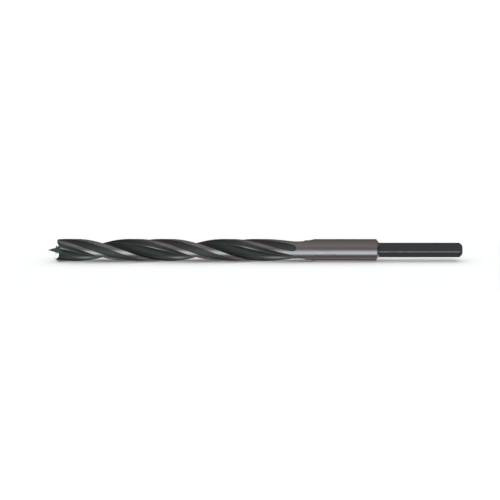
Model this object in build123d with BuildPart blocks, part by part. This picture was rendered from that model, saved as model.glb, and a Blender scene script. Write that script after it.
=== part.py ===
from build123d import *
from math import acos, cos, degrees, pi, radians, sin, sqrt, tan
import os

# A long wood drill bit with a brad point, two wide flutes, a double margin on each
# land and a six-sided shank. One piece of steel: turned, milled, then ground.
# The axis runs along X. The shank's end face stands at X = 0 and the brad points to -X.

# Driving dimensions, in millimetres and degrees
bit_diameter = 16.0             # over the spurs, and so the hole's size
neck_diameter = 15.8            # plain body behind the back taper
taper_gap = 2.0                 # the back taper ends this far past the flutes
brad_height = 6.5               # brad tip beyond the spurs
flute_length = 185.8            # spur tips to where the flutes leave the surface
neck_length = 44.0              # plain body from there to the shoulder
shoulder_length = 1.7           # cone between neck and shank
shank_length = 60.0             # foot of the shoulder to the end face
lead_length = 135.0             # advance of the right-hand helix in one turn
land_angle = 80.0               # each land about the axis, from heel to cutting edge
web_thickness = 4.8             # steel left between the two flutes
flute_radius = 4.3              # hollow of the milled flutes
ridge_diameter = 10.7           # circle on which that hollow meets the flat cut on the heel
heel_margin_angle = 19.0        # rubbing strip at the heel
leading_margin_angle = 21.0     # rubbing strip at the cutting edge
recess_depth = 0.65             # channel between the two margins
recess_gap = 13.8               # the channel's rounded end stops this far before the flutes' end
wheel_radius = 29.0             # milling wheel, which sets how the flutes run out
lift_angle = 165.0              # where the wheel lifts towards, from the land's heel
opening_length = 44.8           # last stretch of the flutes, where the helix opens out
opening_share = 0.71            # part of its turning that the helix loses by the end
brad_width = 5.6                # brad across its corners, at the bottom of the lips
brad_tip_width = 0.2            # blunt end of the brad, across its corners
spur_height = 1.45              # spurs beyond the bottom of the lips
spur_width = 0.6                # top of each spur, from the rim inwards
lip_radius = 6.2                # hollow of each lip
relief_angle = 7.0              # fall of the end face behind the lips, at the rim
hex_across_flats = 9.5
shoulder_step = 0.2             # narrow flat around the foot of the shoulder
nose_length = 2.3               # turned nose on the shank's end
nose_diameter = 6.7             # flat left inside that nose
nose_crown = 0.25               # how far the nose bulges from a straight chamfer
heel_roll = -55.6               # a heel at the lips, in degrees below the front
hex_roll = 2.5                  # a corner of the shank, in degrees below the front

# Places along the axis, from the end face at X = 0, and sizes that follow
shoulder_foot = -shank_length
neck_end = shoulder_foot - shoulder_length
flute_end = neck_end - neck_length
spur_plane = flute_end - flute_length
brad_tip = spur_plane - brad_height
lip_plane = spur_plane + spur_height
recess_end = flute_end - recess_gap
opening_start = flute_end - opening_length
taper_end = flute_end + taper_gap
bit_radius = bit_diameter / 2
neck_radius = neck_diameter / 2
web_radius = web_thickness / 2
recess_radius = neck_radius - recess_depth
hex_corner_radius = hex_across_flats / 2 / cos(radians(30))
relief_lead = 2 * pi * bit_radius * tan(radians(relief_angle))
clear = 2.0                     # how far a cutting tool reaches past the steel
station_gap = 5.0               # most that two sections of a milled channel stand apart


def turned(x):
    """Where a heel has turned to at x, in degrees below the front."""
    opened = max(0.0, x - opening_start)
    lost = opening_share * opened**2 / (2 * opening_length)
    return heel_roll + 360 / lead_length * (x - lip_plane - lost)


def front_direction(roll):
    return Vector(0, -cos(radians(roll)), -sin(radians(roll)))


def section_plane(x, shift=0.0, shift_angle=0.0):
    """Plane across the axis at x, seen from the brad, with its x_dir at the heel."""
    roll = turned(x)
    shifted = front_direction(roll - shift_angle) * shift
    return Plane(
        origin=Vector(x, 0, 0) + shifted, x_dir=front_direction(roll), z_dir=(-1, 0, 0)
    )


def polar(radius, angle):
    return (radius * cos(radians(angle)), radius * sin(radians(angle)))


def stations(start, end):
    count = int((end - start) / station_gap) + 1
    return [start + (end - start) * i / count for i in range(count + 1)]


# Turned blank: fluted body with its back taper, neck, shoulder and six-sided shank
foot_radius = hex_corner_radius + shoulder_step
nose_radius = nose_diameter / 2
nose_middle = Vector(-nose_length / 2, (nose_radius + hex_corner_radius) / 2)
nose_outward = Vector(hex_corner_radius - nose_radius, nose_length).normalized()
with BuildPart() as blank:
    with BuildSketch(Plane.XZ):
        with BuildLine():
            Polyline(
                (spur_plane, 0),
                (spur_plane, bit_radius),
                (taper_end, neck_radius),
                (neck_end, neck_radius),
                (shoulder_foot, foot_radius),
                (shoulder_foot, 0),
                close=True,
            )
        make_face()
    revolve(axis=Axis.X)
    with BuildSketch(Plane(origin=(0, 0, 0), x_dir=front_direction(hex_roll), z_dir=(-1, 0, 0))):
        RegularPolygon(radius=hex_corner_radius, side_count=6)
    extrude(amount=shank_length)
    with BuildSketch(Plane.XZ):
        with BuildLine():
            nose_foot = (-nose_length, hex_corner_radius)
            ThreePointArc((0, nose_radius), nose_middle + nose_outward * nose_crown, nose_foot)
            Polyline(
                nose_foot,
                (-nose_length, hex_corner_radius + clear),
                (clear, hex_corner_radius + clear),
                (clear, nose_radius),
                (0, nose_radius),
            )
        make_face()
    revolve(axis=Axis.X, mode=Mode.SUBTRACT)

# Point tool: turns about the axis behind one lip while it sinks, which leaves the hollow
# lip, the spur at the rim and the clearance behind both
tool_core = web_radius / 2
lip_bottom = bit_radius - spur_width - sqrt(lip_radius**2 - (lip_radius - spur_height)**2)
tool_top = spur_plane - relief_lead / 2 - clear


def lip_height(radius):
    return lip_plane - lip_radius + sqrt(lip_radius**2 - (radius - lip_bottom)**2)


with BuildPart() as point_tool:
    with BuildLine() as relief_path:
        Helix(relief_lead, relief_lead / 2, bit_radius, (spur_plane, 0, 0), (1, 0, 0))
    with BuildSketch(Plane(origin=(0, 0, 0), x_dir=(0, 0, 1), z_dir=(0, 1, 0))):
        with BuildLine():
            inner = (tool_core, lip_height(tool_core))
            spur_foot = (bit_radius - spur_width, spur_plane)
            Polyline(
                spur_foot,
                (bit_radius + clear, spur_plane),
                (bit_radius + clear, tool_top),
                (tool_core, tool_top),
                inner,
            )
            ThreePointArc(inner, (lip_bottom, lip_plane), spur_foot)
        make_face()
    sweep(path=relief_path.line, is_frenet=True)

# Flute tool: a round hollow that leaves the cutting edge sharp, and a flat that takes away
# the heel of the next land. It is drawn at stations along the axis, and at the end the
# wheel lifts out of the steel.
hollow_centre = web_radius + flute_radius
tool_reach = bit_radius + clear


def hollow_half_angle(radius):
    """Angle at the axis between the hollow's middle and its wall at a radius."""
    chord = hollow_centre**2 + radius**2 - flute_radius**2
    return degrees(acos(chord / (2 * hollow_centre * radius)))


flute_middle = land_angle + hollow_half_angle(bit_radius)
lift_lean = radians(lift_angle - flute_middle)
lift_aside = hollow_centre * sin(lift_lean)
lift_along = hollow_centre * cos(lift_lean)
last_lift = sqrt((neck_radius + flute_radius)**2 - lift_aside**2) - lift_along
runout_length = sqrt(wheel_radius**2 - (wheel_radius - last_lift)**2)


def flute_section(x):
    risen = max(0.0, x - flute_end + runout_length)
    lift = wheel_radius - sqrt(wheel_radius**2 - risen**2)
    wall_top = polar(tool_reach, flute_middle - hollow_half_angle(tool_reach))
    ridge_radius = ridge_diameter / 2
    ridge = Vector(*polar(ridge_radius, flute_middle + hollow_half_angle(ridge_radius)))
    heel = Vector(*polar(bit_radius, 180))
    flat_top = heel + (heel - ridge).normalized() * clear
    with BuildSketch(section_plane(x, lift, lift_angle)) as section:
        with BuildLine():
            ThreePointArc(wall_top, polar(web_radius, flute_middle), ridge)
            Line(ridge, flat_top)
            ThreePointArc(flat_top, polar(tool_reach + clear, flute_middle), wall_top)
        make_face()
    return section.sketch


with BuildPart() as flute_tool:
    loft([flute_section(x) for x in stations(brad_tip - clear, flute_end + clear)])

# Recess tool: the shallow channel between the margins, with an end as round as the cutter
recess_angle = land_angle - heel_margin_angle - leading_margin_angle
recess_middle = heel_margin_angle + recess_angle / 2
cutter_radius = recess_radius * sin(radians(recess_angle / 2))
cutter_centre = recess_end - cutter_radius


def recess_section(x):
    with BuildSketch(section_plane(x)) as section:
        with BuildLine():
            near = polar(web_radius, heel_margin_angle)
            far = polar(web_radius, heel_margin_angle + recess_angle)
            outer_near = polar(tool_reach, heel_margin_angle)
            outer_far = polar(tool_reach, heel_margin_angle + recess_angle)
            Polyline(outer_near, near, far, outer_far)
            ThreePointArc(outer_far, polar(tool_reach, recess_middle), outer_near)
        make_face()
    return section.sketch


with BuildPart() as recess_tool:
    loft([recess_section(x) for x in stations(spur_plane - clear, cutter_centre)])
    with BuildSketch(
        Plane(origin=(cutter_centre, 0, 0), x_dir=(1, 0, 0),
              z_dir=front_direction(turned(cutter_centre) - recess_middle))
    ):
        Circle(cutter_radius)
    extrude(amount=tool_reach)
    with BuildSketch(Plane.YZ.offset(spur_plane - 2 * clear)):
        Circle(recess_radius)
    extrude(amount=recess_end - spur_plane + 4 * clear, mode=Mode.SUBTRACT)

# The drill bit: the blank is ground at the point, gets its brad and is then milled
lip_roll = turned(lip_plane) - land_angle
brad_foot = lip_plane + relief_lead / 2
brad_spread = (brad_foot - brad_tip) / (lip_plane - brad_tip)


def brad_section(x, width):
    direction = front_direction(lip_roll)
    with BuildSketch(Plane(origin=(x, 0, 0), x_dir=direction, z_dir=(-1, 0, 0))) as section:
        RegularPolygon(radius=width / 2, side_count=4)
    return section.sketch


with BuildPart() as drill_bit:
    add(blank.part)
    for half_turn in (0, 180):
        tool_roll = lip_roll + 90 + half_turn
        add(point_tool.part, rotation=(tool_roll, 0, 0), mode=Mode.SUBTRACT)
    loft([
        brad_section(brad_foot, brad_width * brad_spread),
        brad_section(brad_tip, brad_tip_width),
    ])
    for half_turn in (0, 180):
        add(flute_tool.part, rotation=(half_turn, 0, 0), mode=Mode.SUBTRACT)
        add(recess_tool.part, rotation=(half_turn, 0, 0), mode=Mode.SUBTRACT)

drill_bit.part.label = "drill_bit"
os.makedirs("parts", exist_ok=True)
export_step(drill_bit.part, "parts/drill_bit.step")
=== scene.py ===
from math import acos, cos, degrees, pi, radians, sin, sqrt, tan

import bmesh
import bpy
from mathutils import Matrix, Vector


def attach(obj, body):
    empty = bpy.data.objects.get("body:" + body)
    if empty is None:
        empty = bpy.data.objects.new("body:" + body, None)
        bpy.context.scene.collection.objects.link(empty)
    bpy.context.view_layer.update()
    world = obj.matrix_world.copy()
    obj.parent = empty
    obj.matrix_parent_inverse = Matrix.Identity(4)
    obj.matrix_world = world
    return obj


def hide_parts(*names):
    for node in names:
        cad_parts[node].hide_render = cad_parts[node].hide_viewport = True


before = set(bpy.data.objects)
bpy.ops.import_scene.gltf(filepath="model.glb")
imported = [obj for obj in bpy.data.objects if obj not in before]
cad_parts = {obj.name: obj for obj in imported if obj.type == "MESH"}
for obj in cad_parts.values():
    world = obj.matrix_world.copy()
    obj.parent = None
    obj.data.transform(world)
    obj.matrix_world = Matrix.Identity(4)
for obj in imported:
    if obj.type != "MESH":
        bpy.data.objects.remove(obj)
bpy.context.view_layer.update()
millimetre = 0.001


# Node trees: Python operators on a Value add Math nodes, every other node comes from add()
class Value:
    def __init__(self, graph, socket):
        self.graph = graph
        self.socket = socket

    def __add__(self, other):
        return self.graph.math("ADD", self, other)

    def __radd__(self, other):
        return self.graph.math("ADD", other, self)

    def __sub__(self, other):
        return self.graph.math("SUBTRACT", self, other)

    def __rsub__(self, other):
        return self.graph.math("SUBTRACT", other, self)

    def __mul__(self, other):
        return self.graph.math("MULTIPLY", self, other)

    def __rmul__(self, other):
        return self.graph.math("MULTIPLY", other, self)

    def __truediv__(self, other):
        return self.graph.math("DIVIDE", self, other)

    def __rtruediv__(self, other):
        return self.graph.math("DIVIDE", other, self)

    def __pow__(self, other):
        return self.graph.math("POWER", self, other)

    def __neg__(self):
        return self.graph.math("MULTIPLY", self, -1.0)

    def __gt__(self, other):
        return self.graph.math("GREATER_THAN", self, other)

    def __lt__(self, other):
        return self.graph.math("LESS_THAN", self, other)


class Graph:
    def __init__(self, tree):
        self.tree = tree

    def plug(self, socket, value):
        if isinstance(value, Value):
            self.tree.links.new(value.socket, socket)
        else:
            socket.default_value = value

    def add(self, kind, settings, sockets, output=0):
        node = self.tree.nodes.new(kind)
        for name, setting in settings.items():
            setattr(node, name, setting)
        for key, value in sockets.items():
            self.plug(node.inputs[key], value)
        return Value(self, node.outputs[output]) if node.outputs else node

    def math(self, operation, *values):
        return self.add("ShaderNodeMath", {"operation": operation}, dict(enumerate(values)))

    def least(self, a, b):
        return self.math("MINIMUM", a, b)

    def most(self, a, b):
        return self.math("MAXIMUM", a, b)

    def root(self, a):
        return self.math("SQRT", a)

    def ramp(self, value, start, span, low=0.0, high=1.0, shape="LINEAR"):
        sockets = {0: value, 1: start, 2: start + span, 3: low, 4: high}
        return self.add("ShaderNodeMapRange", {"interpolation_type": shape}, sockets)

    def mix(self, factor, a, b):
        return a + (b - a) * factor

    def blend(self, factor, a, b, mode="MIX"):
        settings = {"data_type": "RGBA", "blend_type": mode}
        return self.add("ShaderNodeMix", settings, {0: factor, 6: a, 7: b}, 2)  # colour sockets

    def split(self, vector):
        first = self.add("ShaderNodeSeparateXYZ", {}, {0: vector})
        return [Value(self, socket) for socket in first.socket.node.outputs]


# The bit's body: one grid whose rows run along the axis and whose columns follow the section
# round, from a heel over its margin, recess and margin to the cutting edge, then through the
# flute to the next heel. Millimetres, degrees; the shank's end face is at X = 0.
bit = {
    "spurPlane": -291.5,      # places along the axis
    "lipPlane": -290.05,
    "fluteEnd": -105.7,
    "neckEnd": -61.7,
    "shankStart": -60.0,
    "bitRadius": 8.0,
    "neckRadius": 7.9,
    "taperGap": 2.0,          # the back taper ends this far past the flutes
    "recessRadius": 7.25,
    "webRadius": 2.4,
    "hollowRadius": 4.3,
    "wheelRadius": 29.0,      # milling wheel, which lifts out at the flutes' end
    "liftAngle": 165.0,       # where it lifts towards, from the land's heel
    "ridgeRadius": 5.35,      # where the hollow meets the flat cut on the heel
    "leadLength": 135.0,
    "openingLength": 44.8,    # last stretch, where the helix opens out
    "openingShare": 0.71,
    "heelRoll": -55.6,        # a heel at the lips, in degrees below the front
    "landAngle": 80.0,
    "heelMargin": 19.0,
    "leadingMargin": 21.0,
    "recessGap": 13.8,        # the recess stops this far before the flutes' end
    "recessRound": 4.6,       # length of the recess's rounded end
    "heelSoftness": 0.12,
    "edgeSoftness": 0.05,
    "hexFlat": 4.75,
    "hexRoll": 2.5,
    "hexRounding": 0.6,
    "shoulderFoot": 5.685,
    "noseLength": 2.3,
    "noseRadius": 3.35,
    "noseBulge": 0.16,
}
bitGrid = {
    "heelColumns": 9,
    "recessColumns": 14,
    "leadingColumns": 11,
    "hollowColumns": 40,
    "flatColumns": 9,
    "fluteRows": 290,
    "recessEndRows": 14,
    "runoutRows": 40,
    "neckRows": 30,
    "shoulderRows": 4,
    "shankRows": 24,
    "noseRows": 9,
    "faceRows": 3,
    "frontOverrun": 1.0,      # the grid starts this far before the spurs
    "rakeColumn": 8.5,        # middle of the band by the cutting edge that chips rub bright
    "mergeDistance": 2e-6,    # metres
    "sharpAngle": 33.0,       # edges steeper than this stay sharp
}
landColumns = sum(bitGrid[n] for n in ("heelColumns", "recessColumns", "leadingColumns")) + 4
halfColumns = landColumns + bitGrid["hollowColumns"] + bitGrid["flatColumns"]
fluteMiddle = bit["landAngle"] + degrees(acos(
    ((bit["webRadius"] + bit["hollowRadius"])**2 + bit["bitRadius"]**2 - bit["hollowRadius"]**2)
    / (2 * (bit["webRadius"] + bit["hollowRadius"]) * bit["bitRadius"])))


def bodyTree(material):
    tree = bpy.data.node_groups.new("drillBody", "GeometryNodeTree")
    g = Graph(tree)
    tree.interface.new_socket("Geometry", in_out="OUTPUT", socket_type="NodeSocketGeometry")
    for name in bit:
        tree.interface.new_socket(name, in_out="INPUT", socket_type="NodeSocketFloat")
    given = tree.nodes.new("NodeGroupInput")
    size = {name: Value(g, given.outputs[name]) for name in bit}
    turn = pi / 180

    # how many columns and rows there are, and which one a vertex is in: k counts the columns of
    # one half from its heel, and further down j counts those of a flute from its cutting edge
    heelC, recessC, leadC = (bitGrid[n] for n in ("heelColumns", "recessColumns", "leadingColumns"))
    hollowC, flatC = (bitGrid[n] for n in ("hollowColumns", "flatColumns"))
    shoulderRows, shankRows, noseRows, faceRows = (
        bitGrid[n] for n in ("shoulderRows", "shankRows", "noseRows", "faceRows"))
    columns = 2 * halfColumns
    recessEnd = size["fluteEnd"] - size["recessGap"]
    recessHalf = (size["landAngle"] - size["heelMargin"] - size["leadingMargin"]) / 2
    cutter = size["recessRound"]
    cutterCentre = recessEnd - cutter
    index = g.add("GeometryNodeInputIndex", {}, {})
    row = g.math("FLOOR", index / (columns + 1) + 0.001)
    column = index - row * (columns + 1)
    half = g.math("FLOOR", column / halfColumns + 0.001)
    k = column - half * halfColumns

    # where each row stands along the axis, closer together where an end is rounded
    front = size["spurPlane"] - bitGrid["frontOverrun"]
    roundRow = bitGrid["fluteRows"]
    runoutRow = roundRow + bitGrid["recessEndRows"]
    fluteEndRow = runoutRow + bitGrid["runoutRows"]
    neckRow = fluteEndRow + bitGrid["neckRows"]
    footRow = neckRow + shoulderRows

    def eased(first, last):
        return g.math("SINE", g.ramp(row, first, last - first) * (pi / 2))

    x = front + g.ramp(row, 0, roundRow) * (cutterCentre - front)
    x = x + eased(roundRow, runoutRow) * cutter
    x = x + eased(runoutRow, fluteEndRow) * (size["fluteEnd"] - recessEnd)
    x = x + g.ramp(row, fluteEndRow, bitGrid["neckRows"]) * (size["neckEnd"] - size["fluteEnd"])
    cone = g.ramp(row, neckRow, shoulderRows)
    x = x + cone * (size["shankStart"] - size["neckEnd"])

    # the hollow of the flute, which the wheel's lift moves outwards and aside at the end
    taper = g.ramp(x, size["spurPlane"], size["fluteEnd"] + size["taperGap"] - size["spurPlane"])
    outer = g.mix(taper, size["bitRadius"], size["neckRadius"])
    hollow = size["hollowRadius"]
    baseCentre = size["webRadius"] + hollow
    lean = (size["liftAngle"] - fluteMiddle) * turn
    leanCos, leanSin = g.math("COSINE", lean), g.math("SINE", lean)
    lastLift = (g.root((size["neckRadius"] + hollow)**2 - (baseCentre * leanSin)**2)
                - baseCentre * leanCos)
    runout = g.root(size["wheelRadius"]**2 - (size["wheelRadius"] - lastLift)**2)
    risen = g.least(g.most(x - size["fluteEnd"] + runout, 0.0), runout)
    lift = size["wheelRadius"] - g.root(size["wheelRadius"]**2 - risen**2)
    centreP, centreQ = baseCentre + lift * leanCos, lift * leanSin
    centre = g.root(centreP**2 + centreQ**2)
    swing = g.math("ARCTAN2", centreQ, centreP)
    wallAngle = g.math("ARCCOSINE", (centre**2 + hollow**2 - outer**2) / (2 * centre * hollow))
    edgeCosine = g.least((centre**2 + outer**2 - hollow**2) / (2 * centre * outer), 1.0)
    edgeAngle = g.math("ARCCOSINE", edgeCosine)
    ridgeAngle = g.math("ARCCOSINE", (baseCentre**2 + hollow**2 - size["ridgeRadius"]**2)
                        / (2 * baseCentre * hollow))
    fluted = x < size["fluteEnd"] - 0.001
    wallAngle = wallAngle * fluted
    edgeAngle = edgeAngle * fluted
    hasFlat = (wallAngle - swing) > ridgeAngle
    nearAngle = -(wallAngle + swing)
    farAngle = g.least(wallAngle - swing, ridgeAngle)

    # the flat on the heel starts at the hollow's ridge and leaves the body at the heel
    ridgeBase = (baseCentre - hollow * g.math("COSINE", ridgeAngle),
                 hollow * g.math("SINE", ridgeAngle))
    heelTurn = (180 - fluteMiddle) * turn
    heelBase = (size["bitRadius"] * cos(heelTurn), size["bitRadius"] * sin(heelTurn))
    run = [b - a for a, b in zip(ridgeBase, heelBase)]
    runLength = g.root(run[0]**2 + run[1]**2)
    run = [r / runLength for r in run]
    ridge = (centreP - hollow * g.math("COSINE", farAngle),
             centreQ + hollow * g.math("SINE", farAngle))
    along = ridge[0] * run[0] + ridge[1] * run[1]
    inside = outer**2 - ridge[0]**2 - ridge[1]**2
    flatLength = (g.root(along**2 + inside) - along) * hasFlat
    heel = [a + r * flatLength for a, r in zip(ridge, run)]
    heelAngle = g.math("ARCTAN2", heel[1], heel[0]) / turn + (fluteMiddle - 180)

    # the land: heel, margin, recess and margin, as angles about the axis
    recessOpen = x < recessEnd - 0.0005
    across = g.most(x - cutterCentre, 0.0) / cutter
    recessWidth = recessHalf * g.root(1 - across**2) * recessOpen
    recessMiddle = size["heelMargin"] + recessHalf
    nearWall = recessMiddle - recessWidth
    farWall = recessMiddle + recessWidth
    soft = size["edgeSoftness"] * recessOpen
    softAngle = soft / size["neckRadius"] / turn
    heelSoft = size["heelSoftness"] * g.ramp(x, size["fluteEnd"] - 6.0, 6.0, 1.0, 0.0)
    heelSoftAngle = heelSoft / size["neckRadius"] / turn

    angle = (heelAngle
             + heelSoftAngle * g.ramp(k, 0, 1)
             + (nearWall - softAngle - heelAngle - heelSoftAngle) * g.ramp(k, 1, heelC - 1)
             + softAngle * g.ramp(k, heelC, 1)
             + recessWidth * 2 * g.ramp(k, heelC + 2, recessC))
    past = heelC + recessC + 2
    cutAngle = fluteMiddle + (swing - edgeAngle) / turn
    angle = (angle
             + softAngle * g.ramp(k, past + 1, 1)
             + (cutAngle - farWall - softAngle) * g.ramp(k, past + 2, leadC))
    wallTops = g.math("COMPARE", k, heelC + 1, 0.5) + g.math("COMPARE", k, past + 1, 0.5)
    floorHere = (k > heelC + 1.5) * (k < past + 0.5) * recessOpen
    radius = (outer - heelSoft * (k < 0.5) - soft * wallTops
              - (outer - size["recessRadius"]) * floorHere)

    # the flute, from the cutting edge down to its floor, up to the ridge and over the flat
    j = k - landColumns
    phi = nearAngle + g.ramp(j, 0, hollowC) * (farAngle - nearAngle)
    onFlat = g.ramp(j, hollowC, flatC)
    p = centreP - hollow * g.math("COSINE", phi) + run[0] * flatLength * onFlat
    q = centreQ + hollow * g.math("SINE", phi) + run[1] * flatLength * onFlat
    inFlute = k > landColumns + 0.5
    angle = g.mix(inFlute, angle, g.math("ARCTAN2", q, p) / turn + fluteMiddle)
    radius = g.mix(inFlute, radius, g.least(g.root(p**2 + q**2), outer))

    # the helix, which opens out towards its end, then the even columns of the shank
    opened = g.most(x - (size["fluteEnd"] - size["openingLength"]), 0.0)
    lost = size["openingShare"] * opened**2 / (2 * size["openingLength"])
    roll = size["heelRoll"] + 360 / size["leadLength"] * (x - size["lipPlane"] - lost)
    roll = roll - angle - half * 180
    fromCorner = g.math("PINGPONG", column * (360 / columns), 30)  # crowded towards each corner
    fromCorner = 30 * (0.35 * (fromCorner / 30) + 0.65 * (fromCorner / 30)**3)
    step = g.math("FLOOR", column * (6 / columns) + 0.5001)
    side = g.math("SIGN", column * (6 / columns) - step)
    evenRoll = size["hexRoll"] + 420 - step * 60 - side * fromCorner
    settle = g.ramp(row, fluteEndRow + 1, bitGrid["neckRows"] - 2, shape="SMOOTHSTEP")
    roll = g.mix(settle, roll, evenRoll)

    # shoulder, hexagon, turned nose and end face
    flatRadius = size["hexFlat"] / g.math("COSINE", (30 - fromCorner) * turn)
    roundCentre = (size["hexFlat"] - size["hexRounding"]) / cos(pi / 6)
    aside = roundCentre * g.math("SINE", fromCorner * turn)
    roundRadius = (roundCentre * g.math("COSINE", fromCorner * turn)
                   + g.root(size["hexRounding"]**2 - aside**2))
    roundHere = g.math("TANGENT", fromCorner * turn) < (
        size["hexRounding"] * 0.5 / (roundCentre + size["hexRounding"] * cos(pi / 6)))
    hexRadius = g.mix(roundHere, flatRadius, roundRadius)
    rise = size["hexFlat"] / cos(pi / 6) - size["noseRadius"]
    bulge = 4 * size["noseBulge"]
    slope = rise + bulge
    noseRoot = g.root(slope**2 - 4 * bulge * (hexRadius - size["noseRadius"]))
    noseFoot = (slope - noseRoot) / (2 * bulge)
    noseStart = -(size["noseLength"] * noseFoot)
    noseRow = footRow + 1 + shankRows
    toNose = g.ramp(row, footRow + 1, shankRows)
    inNose = g.ramp(row, noseRow, noseRows)
    x = x + toNose * (noseStart - size["shankStart"]) - inNose * noseStart
    share = noseFoot * (1 - inNose)
    noseRadius = size["noseRadius"] + slope * share - bulge * share**2
    radius = g.mix(cone, radius, size["shoulderFoot"])
    radius = g.mix(row > footRow + 0.5, radius, hexRadius)
    radius = g.mix(row > noseRow + 0.5, radius, noseRadius)
    radius = radius * g.ramp(row, noseRow + noseRows, faceRows, 1.0, 0.0)
    rows = noseRow + noseRows + faceRows + 1

    grid = g.add("GeometryNodeMeshGrid", {}, {"Vertices X": rows, "Vertices Y": columns + 1})
    place = g.add("ShaderNodeCombineXYZ", {}, {
        0: x * millimetre,
        1: radius * g.math("COSINE", roll * turn) * -millimetre,
        2: radius * g.math("SINE", roll * turn) * -millimetre})
    shaped = g.add("GeometryNodeSetPosition", {}, {"Geometry": grid, "Position": place})

    # what the material needs: the hollow's ridge, which carries a worn line with a painted
    # highlight, the band by the cutting edge, the column
    milled = row < fluteEndRow - 0.5
    track = g.add("ShaderNodeCombineXYZ", {}, {
        0: g.ramp(g.math("ABSOLUTE", j - hollowC), 0.4, 1.8, 1.0, 0.0) * milled,
        1: g.ramp(g.math("ABSOLUTE", j - bitGrid["rakeColumn"]), 1.0, 4.0, 1.0, 0.0) * milled,
        2: column})
    marked = g.add("GeometryNodeStoreNamedAttribute", {"data_type": "FLOAT_VECTOR"}, {
        "Geometry": shaped, "Name": "track", "Value": track})
    merged = g.add("GeometryNodeMergeByDistance", {}, {
        "Geometry": marked, "Distance": bitGrid["mergeDistance"]})
    real = g.add("GeometryNodeRealizeInstances", {}, {"Geometry": merged})
    finished = g.add("GeometryNodeSetMaterial", {}, {"Geometry": real, "Material": material})
    g.add("NodeGroupOutput", {}, {0: finished})
    return tree


def meshObject(name, mesh):
    thing = bpy.data.objects.new(name, mesh)
    bpy.context.scene.collection.objects.link(thing)
    return thing


def evaluated(thing):
    graph = bpy.context.evaluated_depsgraph_get()
    return bpy.data.meshes.new_from_object(thing.evaluated_get(graph), depsgraph=graph)


def treeMesh(name, tree, values):
    holder = meshObject(name, bpy.data.meshes.new(name))
    modifier = holder.modifiers.new(name, "NODES")
    modifier.node_group = tree
    for item in tree.interface.items_tree:
        if item.in_out == "INPUT":
            modifier[item.identifier] = values[item.name]
    mesh = evaluated(holder)
    bpy.data.objects.remove(holder)
    return mesh


# The grinder's cut behind each lip, which leaves a hollow lip, a spur and clearance, and the brad
point = {
    "lipRadius": 4.6,
    "spurHeight": 1.45,
    "spurWidth": 0.6,
    "reliefAngle": 5.0,       # fall of the end face behind the lips, at the rim
    "coreRadius": 1.2,
    "bradHeight": 6.5,
    "bradWidth": 5.6,         # across its corners, at the bottom of the lips
    "bradTipWidth": 0.2,
    "reach": 2.0,             # how far the cut goes past the steel
    "turnSteps": 60,
    "hollowSteps": 28,
}
reliefLead = 2 * pi * bit["bitRadius"] * tan(radians(point["reliefAngle"]))
lipRoll = bit["heelRoll"] - bit["landAngle"]


def onAxis(x, radius, roll):
    angle = radians(roll)
    return Vector((x, -radius * cos(angle), -radius * sin(angle))) * millimetre


def grinderProfile():
    lipRadius, spurHeight = point["lipRadius"], point["spurHeight"]
    spurFoot = bit["bitRadius"] - point["spurWidth"]
    bottom = spurFoot - sqrt(lipRadius**2 - (lipRadius - spurHeight)**2)
    top = bit["spurPlane"] - reliefLead / 2 - point["reach"]
    beyond = bit["bitRadius"] + point["reach"]
    outline = [(beyond, top), (point["coreRadius"], top)]
    for step in range(point["hollowSteps"] + 1):
        r = point["coreRadius"] + (spurFoot - point["coreRadius"]) * step / point["hollowSteps"]
        outline.append((r, bit["lipPlane"] - lipRadius + sqrt(lipRadius**2 - (r - bottom)**2)))
    outline.append((beyond, bit["spurPlane"]))
    return outline


def closedSolid(name, shape, rings):
    shape.faces.new(rings[0])
    shape.faces.new(rings[-1])
    bmesh.ops.recalc_face_normals(shape, faces=shape.faces)
    mesh = bpy.data.meshes.new(name)
    shape.to_mesh(mesh)
    shape.free()
    return meshObject(name, mesh)


def grinderCut(halfTurn):
    outline = grinderProfile()
    shape = bmesh.new()
    rings = []
    for step in range(point["turnSteps"] + 1):
        behind = 180 * step / point["turnSteps"]
        sink = reliefLead * behind / 360
        roll = lipRoll + halfTurn + behind
        rings.append([shape.verts.new(onAxis(x + sink, r, roll)) for r, x in outline])
    for one, two in zip(rings, rings[1:]):
        for i in range(len(outline)):
            nextOne = (i + 1) % len(outline)
            shape.faces.new((one[i], one[nextOne], two[nextOne], two[i]))
    return closedSolid("grinderCut", shape, rings)


def bradShape():
    foot = bit["lipPlane"] + reliefLead / 2
    tip = bit["spurPlane"] - point["bradHeight"]
    spread = (foot - tip) / (bit["lipPlane"] - tip)
    shape = bmesh.new()
    rings = []
    for x, width in ((foot, point["bradWidth"] * spread), (tip, point["bradTipWidth"])):
        corners = [onAxis(x, width / 2, lipRoll + 90 * i) for i in range(4)]
        rings.append([shape.verts.new(corner) for corner in corners])
    for i in range(4):
        shape.faces.new((rings[0][i], rings[0][i - 1], rings[1][i - 1], rings[1][i]))
    return closedSolid("brad", shape, rings)


def closeFront(mesh):
    shape = bmesh.new()
    shape.from_mesh(mesh)
    rim = [edge for edge in shape.edges if edge.is_boundary]
    bmesh.ops.contextual_create(shape, geom=rim)
    bmesh.ops.recalc_face_normals(shape, faces=shape.faces)
    shape.to_mesh(mesh)
    shape.free()


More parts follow.
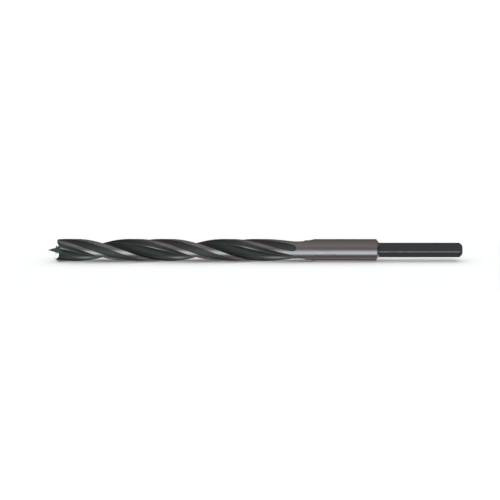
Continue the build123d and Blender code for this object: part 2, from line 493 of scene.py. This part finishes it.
# The steel: ground bare on the neck, the shoulder and the margins, black oxide elsewhere
finish = {
    "groundColour": (0.52, 0.535, 0.55, 1),
    "oxideColour": (0.125, 0.165, 0.158, 1),   # in the flutes
    "recessAndShadeLiftColour": (0.17, 0.215, 0.205, 1),   # on the recess between the margins, and painted on the flute by the cutting edge, lighter there to offset the shade that falls there
    "stainColour": (0.24, 0.205, 0.18, 1),
    "tipTint": (0.93, 1.0, 0.97, 1),
    "shankColour": (0.14, 0.178, 0.198, 1),
    "rakeColour": (0.25, 0.275, 0.28, 1),
    # wear on the ridge and the shank's corners, also a painted highlight
    "wornAndHighlightColour": (0.6, 0.57, 0.55, 1),
    "blackColour": (0, 0, 0, 1),
    "groundRoughness": 0.18,
    "oxideRoughness": 0.72,
    "shankRoughness": 0.5,
    "rakeRoughness": 0.2,
    "wornRoughness": 0.3,
    "trackStrength": 0.22,
    "stainStrength": 0.5,
    "rakeStrength": 0.6,
    "lineStrength": 0.1,
    "cornerRadius": 5.24,                      # the shank's corners are painted worn and highlighted from here outwards
    "stainRadius": 6.6,                        # stains fade in from here outwards
    "tipTintFrom": -285.0,
    "tipTintLength": 80.0,
}


def steelMaterial():
    material = bpy.data.materials.new("steel")
    material.use_nodes = True
    material.node_tree.nodes.clear()
    g = Graph(material.node_tree)
    place = g.add("ShaderNodeTexCoord", {}, {}, "Object")
    x, y, z = g.split(place)
    x, y, z = x * 1000, y * 1000, z * 1000
    radius = g.root(y * y + z * z)
    ridge, rake, column = g.split(g.add("ShaderNodeAttribute", {"attribute_name": "track"}, {}, 1))

    def noise(a, b, c, detail=2.0, low=0.35, high=0.65):
        spot = g.add("ShaderNodeCombineXYZ", {}, {0: a, 1: b, 2: c})
        value = g.add("ShaderNodeTexNoise", {}, {"Vector": spot, "Scale": 1.0, "Detail": detail})
        return g.ramp(value, low, high - low)

    # where the steel is ground bare, and where the shank is
    taperLength = bit["fluteEnd"] + bit["taperGap"] - bit["spurPlane"]
    outer = g.ramp(x, bit["spurPlane"], taperLength, bit["bitRadius"], bit["neckRadius"])
    onShank = x > bit["shankStart"] - 0.05
    onShoulder = (x > bit["neckEnd"]) * (1 - onShank)
    ground = g.most(g.ramp(radius - outer, -0.07, 0.04), onShoulder)

    # cutter tracks along the helix, stains, and wear on the ridge and the shank's corners; the wear
    # is also a painted highlight, painted fainter towards the top, where no light is caught
    tracks = noise(column * 1.3, x / 30, 0.0)
    stains = noise(x / 9, y / 5, z / 5, 3.0, 0.48, 0.7)
    stains = stains * g.ramp(radius, finish["stainRadius"], 0.4)
    patches = noise(x / 4, y / 3, z / 3, 3.0, 0.3, 0.7)
    corner = g.ramp(radius, finish["cornerRadius"], 0.12) * onShank
    corner = corner * (0.5 + 0.5 * patches) * g.ramp(z, 2, 2, 1.0, 0.2)
    ridge = ridge * (0.7 + 0.3 * patches) * g.ramp(z, 3, 2, 1.0, 0.15)
    wornAndHighlight = g.most(corner, ridge)

    # black oxide, painted lighter by the cutting edge to offset the shade that falls there; over it
    # the wear with its painted highlight, and the bare steel with its fine turning lines
    intoFlute = g.math("MODULO", column, halfColumns) - landColumns
    # painted light: the flute's oxide turns lighter towards its cutting edge, against the shade
    # there
    oxide = g.blend(g.ramp(intoFlute, 2, 12), finish["recessAndShadeLiftColour"], finish["oxideColour"])
    oxide = g.blend(stains * finish["stainStrength"], oxide, finish["stainColour"])
    oxide = g.blend(onShank, oxide, finish["shankColour"])
    darker = tracks * (1 - onShank) * finish["trackStrength"]
    oxide = g.blend(darker, oxide, finish["blackColour"])
    oxide = g.blend(rake * finish["rakeStrength"], oxide, finish["rakeColour"])
    colour = g.blend(wornAndHighlight, oxide, finish["wornAndHighlightColour"])
    lines = noise(x * 4, radius / 2, 0.0)
    bare = g.blend(lines * finish["lineStrength"], finish["groundColour"], finish["blackColour"])
    colour = g.blend(ground, colour, bare)
    atTip = g.ramp(x, finish["tipTintFrom"], finish["tipTintLength"], 1.0, 0.0)
    colour = g.blend(atTip, colour, finish["tipTint"], "MULTIPLY")

    roughness = g.mix(onShank, finish["oxideRoughness"] - 0.08 * tracks, finish["shankRoughness"])
    roughness = g.mix(rake, roughness, finish["rakeRoughness"])
    roughness = g.mix(wornAndHighlight, roughness, finish["wornRoughness"])
    bareRoughness = finish["groundRoughness"] + 0.05 * lines + 0.04 * (x < bit["fluteEnd"])
    roughness = g.mix(ground, roughness, bareRoughness)
    steel = g.add("ShaderNodeBsdfPrincipled", {}, {
        "Base Color": colour, "Roughness": roughness, "Metallic": 1.0})
    g.add("ShaderNodeOutputMaterial", {}, {0: steel})
    return material


print("steel")
steel = steelMaterial()
print("body")
bodyMesh = treeMesh("drillBody", bodyTree(steel), bit)
closeFront(bodyMesh)
piece = meshObject("drillBit", bodyMesh)
tools = [(grinderCut(0), "DIFFERENCE"), (grinderCut(180), "DIFFERENCE"), (bradShape(), "UNION")]
for tool, operation in tools:
    cut = piece.modifiers.new(tool.name, "BOOLEAN")
    cut.object = tool
    cut.operation = operation
    cut.solver = "EXACT"
finishedMesh = evaluated(piece)
piece.modifiers.clear()
piece.data = finishedMesh
for tool, operation in tools:
    bpy.data.objects.remove(tool)
finishedMesh.shade_smooth()
finishedMesh.set_sharp_from_angle(angle=radians(bitGrid["sharpAngle"]))
piece.data.materials.clear()
piece.data.materials.append(steel)
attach(piece, "root")
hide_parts("drill_bit")


# Floor, light and camera, in millimetres. To the camera the floor is white away from the bit;
# in the steel it shows as bands by the direction in which a reflected ray falls.
studio = {
    "floorHeight": -8.0,
    "floorColour": (0.875, 0.92, 0.925, 1),
    "floorImage": (0.95, 0.97, 1.0, 1),
    "roomColour": (1.07, 0.89, 0.865, 1),
    "white": (1, 1, 1, 1),
    "floorReach": 6000.0,
    "lampHeight": 1000.0,
    "lampWidth": 4000.0,
    "lampPower": 38.0,        # watts
    "imageWidth": 360.0,      # what the picture spans at the bit
    "distance": 1000.0,
    "elevation": 12.0,        # degrees
    "aim": -152.55,           # along the axis
}
middle = (studio["aim"] * millimetre, 0, 0)


def floorMaterial():
    material = bpy.data.materials.new("paleFloor")
    material.use_nodes = True
    material.node_tree.nodes.clear()
    material.cycles.emission_sampling = "NONE"
    g = Graph(material.node_tree)
    seen = g.add("ShaderNodeLightPath", {}, {}, "Is Camera Ray")
    mirrored = Value(g, seen.socket.node.outputs["Is Glossy Ray"])
    paint = g.add("ShaderNodeBsdfDiffuse", {}, {"Color": studio["floorColour"]})
    x, y, z = g.split(g.add("ShaderNodeTexCoord", {}, {}, "Object"))
    away = 0.12 + g.ramp(g.root(y * y + 0.2 * (x - middle[0])**2), 0.1, 0.5)
    glow = g.add("ShaderNodeEmission", {}, {"Color": studio["white"], "Strength": seen * away})
    lit = g.add("ShaderNodeAddShader", {}, {0: paint, 1: glow})
    x, y, z = g.split(g.add("ShaderNodeNewGeometry", {}, {}, "Incoming"))
    fall = g.math("ARCTAN2", z, y) * (180 / pi)
    level = g.ramp(fall, 0, 20, 0.72, 1.12) - g.ramp(fall, 22, 28, 0, 0.98, "SMOOTHSTEP")
    level = level + g.ramp(g.math("ABSOLUTE", fall - 85), 0, 6, 0.32, 0)           # right below
    level = level + g.ramp(fall, 138, 14, 0, 0.8) - g.ramp(fall, 164, 14, 0, 0.7)  # at the back
    tint = g.blend(g.ramp(fall, 32, 14), studio["floorImage"], studio["roomColour"])
    image = g.add("ShaderNodeEmission", {}, {"Color": tint, "Strength": level})
    both = g.add("ShaderNodeMixShader", {}, {0: mirrored, 1: lit, 2: image})
    g.add("ShaderNodeOutputMaterial", {}, {0: both})
    return material


def studioWorld():
    world = bpy.data.worlds.new("studio")
    bpy.context.scene.world = world
    world.use_nodes = True
    world.node_tree.nodes.clear()
    g = Graph(world.node_tree)
    seen = g.add("ShaderNodeLightPath", {}, {}, "Is Camera Ray")
    x, y, z = g.split(g.add("ShaderNodeTexCoord", {}, {}, "Generated"))
    rise = g.math("ARCTAN2", z, -y) * (180 / pi)  # degrees up from the front, over the top
    level = g.ramp(rise, 0, 14, 0.66, 0.23, "SMOOTHSTEP")
    level = level + g.ramp(rise, 20, 30, 0, 0.05) - g.ramp(rise, 58, 62, 0, 0.1)
    level = level - g.ramp(rise, 120, 60, 0, 0.05)
    level = level - g.ramp(g.math("ABSOLUTE", rise - 33), 0, 7, 0.09, 0)
    room = g.add("ShaderNodeBackground", {}, {"Color": studio["roomColour"], "Strength": level})
    white = g.add("ShaderNodeBackground", {}, {"Color": studio["white"], "Strength": 1.0})
    both = g.add("ShaderNodeMixShader", {}, {0: seen, 1: room, 2: white})
    g.add("ShaderNodeOutputWorld", {}, {0: both})


print("studio")
floorMesh = bpy.data.meshes.new("floor")
reach = studio["floorReach"] * millimetre
floorLevel = studio["floorHeight"] * millimetre
corners = ((-1, -1), (1, -1), (1, 1), (-1, 1))
floorMesh.from_pydata([(reach * a, reach * b, floorLevel) for a, b in corners], [], [(0, 1, 2, 3)])
floor = meshObject("floor", floorMesh)
floor.data.materials.append(floorMaterial())
studioWorld()

skyLamp = bpy.data.lights.new("skyLamp", "AREA")
skyLamp.shape = "DISK"
skyLamp.size = studio["lampWidth"] * millimetre
skyLamp.energy = studio["lampPower"]
sky = bpy.data.objects.new("skyLamp", skyLamp)
bpy.context.scene.collection.objects.link(sky)
sky.location = (middle[0], 0, studio["lampHeight"] * millimetre)  # a new lamp shines down
sky.visible_glossy = False
sky.visible_camera = False

camera = bpy.data.cameras.new("camera")
camera.sensor_width = 36.0
camera.lens = camera.sensor_width * studio["distance"] / studio["imageWidth"]
camera.clip_start = 0.01
cameraObject = bpy.data.objects.new("camera", camera)
bpy.context.scene.collection.objects.link(cameraObject)
back = Vector((0, -cos(radians(studio["elevation"])), sin(radians(studio["elevation"]))))
cameraObject.location = Vector(middle) + back * studio["distance"] * millimetre
cameraObject.rotation_euler = (-back).to_track_quat("-Z", "Y").to_euler()
bpy.context.scene.camera = cameraObject
bpy.context.scene.view_settings.view_transform = "Standard"

print("pieces", len(finishedMesh.vertices), "vertices")
